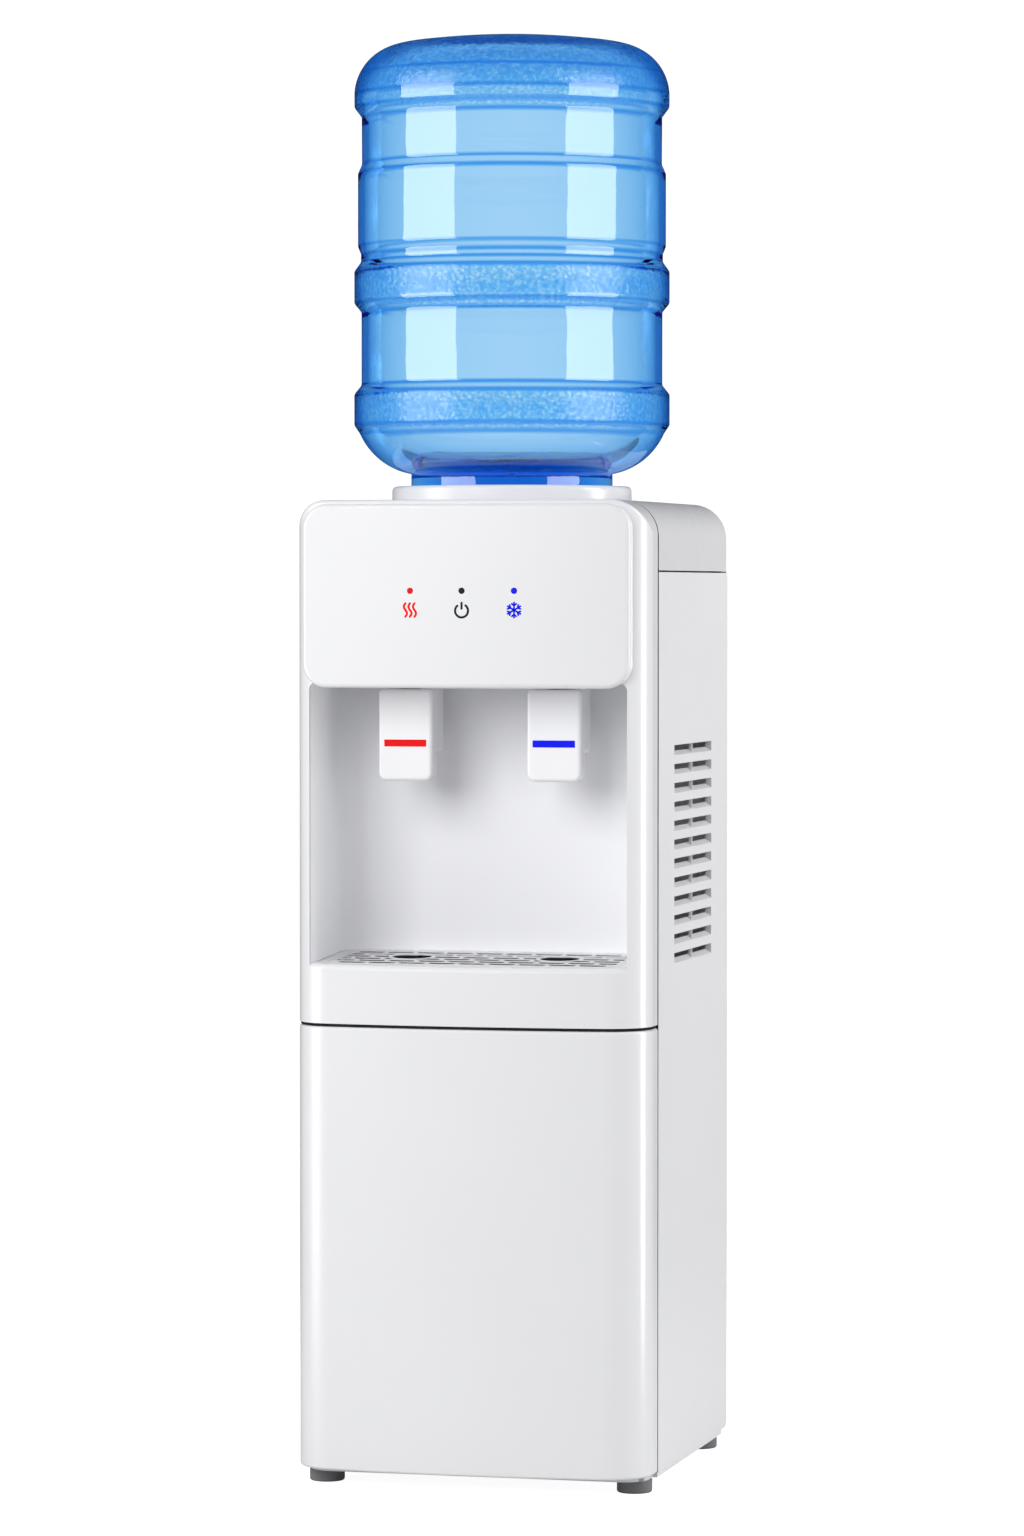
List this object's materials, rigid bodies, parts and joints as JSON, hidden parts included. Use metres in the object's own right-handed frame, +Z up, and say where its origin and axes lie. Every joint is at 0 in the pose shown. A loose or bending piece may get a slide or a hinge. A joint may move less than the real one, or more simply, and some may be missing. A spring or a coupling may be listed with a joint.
{
  "type": "water dispenser",
  "caption": "Tall white water dispenser with an inverted bottle on top, hot and cold push-lever taps over a drip tray in an alcove, and a hinged storage cabinet below.",
  "frame": {"origin": "on the floor, under the bottle's axis, at the centre of the footprint", "axes": "+Z up along the bottle's axis, -Y out of the front towards the user, +X to the user's right"},
  "size_m": [0.308, 0.344, 1.2385],
  "materials": {
    "white_gloss": "moulded gloss white",
    "white_satin": "fine moulded satin white",
    "white_panel": "fine satin white",
    "white_coat": "powder-coated white",
    "foot_grey": "satin grey",
    "bottle_blue": "clear tinted blue",
    "cap_blue": "moulded satin",
    "stripe_red": "gloss red",
    "stripe_blue": "gloss blue",
    "lens_red": "clear red",
    "lens_black": "gloss black",
    "lens_blue": "clear blue",
    "stainless": "brushed",
    "zinc_steel": "zinc plated",
    "alloy": "extruded",
    "foam": "bead foam",
    "silicone": "translucent",
    "black_plastic": "moulded satin black",
    "circuit_green": "solder mask",
    "module_white": "fired ceramic",
    "grille_white": "fine moulded satin",
    "tray_grey": "moulded satin, dark grey basin with a white rim"
  },
  "bodies": {
    "cabinet": {"front_frame": "white_gloss", "control_panel": "white_gloss", "top_cover": "white_gloss", "bottle_collar": "white_gloss", "alcove_liner": "white_satin", "tray_well": "white_satin", "left_side_panel": "white_panel", "right_side_panel": "white_panel", "back_panel": "white_coat", "base_plate": "white_panel", "feet": "foot_grey", "cabinet_liner": "white_satin", "tank_deck": "zinc_steel", "door_hinge_pins": "zinc_steel", "magnet_catch": "black_plastic", "back_panel_screws": "zinc_steel", "heat_lamp_lens": "lens_red", "power_lamp_lens": "lens_black", "cool_lamp_lens": "lens_blue", "indicator_board": "circuit_green", "power_board": "circuit_green", "hot_tap_body": "white_gloss", "cold_tap_body": "white_gloss", "hot_return_spring": "stainless", "cold_return_spring": "stainless", "lever_pins": "stainless", "tap_nuts": "white_satin", "hot_hose": "silicone", "cold_hose": "silicone", "bottle_seat": "white_satin", "cold_tank": "stainless", "cold_tank_jacket": "foam", "hot_tank": "stainless", "heater_band": "stainless", "thermostats": "black_plastic", "transfer_pipe": "silicone", "drain_pipe": "silicone", "cold_block": "alloy", "peltier_module": "module_white", "heat_sink": "alloy", "fan_frame": "black_plastic", "switch_frames": "black_plastic", "cord_gland": "black_plastic"},
    "door": {"cabinet_door": "white_gloss", "door_inner_panel": "white_satin", "catch_strike": "zinc_steel"},
    "hot_lever": {"hot_lever": "white_gloss", "hot_lever_stripe": "stripe_red"},
    "cold_lever": {"cold_lever": "white_gloss", "cold_lever_stripe": "stripe_blue"},
    "hot_valve": {"hot_valve_stem": "silicone"},
    "cold_valve": {"cold_valve_stem": "silicone"},
    "drip_tray": {"drip_tray": "tray_grey"},
    "drip_grille": {"drip_grille": "grille_white"},
    "bottle": {"water_bottle": "bottle_blue", "bottle_cap": "cap_blue"},
    "fan": {"fan_rotor": "black_plastic"},
    "heat_switch": {"heat_switch": "stripe_red"},
    "cool_switch": {"cool_switch": "stripe_blue"},
    "drain_plug": {"drain_plug": "black_plastic"}
  },
  "joints": [
    {"name": "hot_lever_hinge", "type": "hinge", "parent": "cabinet", "child": "hot_lever", "pos_m": [-0.065, -0.09, 0.668], "axis": [1, 0, 0], "range_deg": [0, 12], "stiffness_Nm_per_rad": 0.25, "springref_deg": -11.46},
    {"name": "hot_valve_lift", "type": "slide", "parent": "cabinet", "child": "hot_valve", "axis": [0, 0, 1], "range_m": [0, 0.0046], "deforming": ["hot_return_spring"]},
    {"name": "cold_lever_hinge", "type": "hinge", "parent": "cabinet", "child": "cold_lever", "pos_m": [0.065, -0.09, 0.668], "axis": [1, 0, 0], "range_deg": [0, 12], "stiffness_Nm_per_rad": 0.25, "springref_deg": -11.46},
    {"name": "cold_valve_lift", "type": "slide", "parent": "cabinet", "child": "cold_valve", "axis": [0, 0, 1], "range_m": [0, 0.0046], "deforming": ["cold_return_spring"]},
    {"name": "door_hinge", "type": "hinge", "parent": "cabinet", "child": "door", "pos_m": [0.143, -0.124, 0.2], "axis": [0, 0, 1], "range_deg": [0, 100]},
    {"name": "bottle_lift", "type": "slide", "parent": "cabinet", "child": "bottle", "axis": [0, 0, 1], "range_m": [0, 0.15]},
    {"name": "tray_lift", "type": "slide", "parent": "cabinet", "child": "drip_tray", "axis": [0, -0.0488, 0.9988], "range_m": [0, 0.035]},
    {"name": "grille_lift", "type": "slide", "parent": "drip_tray", "child": "drip_grille", "axis": [0, -0.0488, 0.9988], "range_m": [0, 0.03]},
    {"name": "fan_spin", "type": "hinge", "parent": "cabinet", "child": "fan", "pos_m": [0, 0.15, 0.65], "axis": [0, 1, 0], "continuous": true},
    {"name": "heat_switch_rock", "type": "hinge", "parent": "cabinet", "child": "heat_switch", "pos_m": [-0.112, 0.156, 0.735], "axis": [1, 0, 0], "range_deg": [0, 16]},
    {"name": "cool_switch_rock", "type": "hinge", "parent": "cabinet", "child": "cool_switch", "pos_m": [-0.082, 0.156, 0.735], "axis": [1, 0, 0], "range_deg": [0, 16]},
    {"name": "drain_plug_pull", "type": "slide", "parent": "cabinet", "child": "drain_plug", "axis": [0, 1, 0], "range_m": [0, 0.02]}
  ],
  "couplings": [
    {"joint": "hot_valve_lift", "follows": "hot_lever_hinge", "m_per_rad": 0.021},
    {"joint": "cold_valve_lift", "follows": "cold_lever_hinge", "m_per_rad": 0.021}
  ]
}
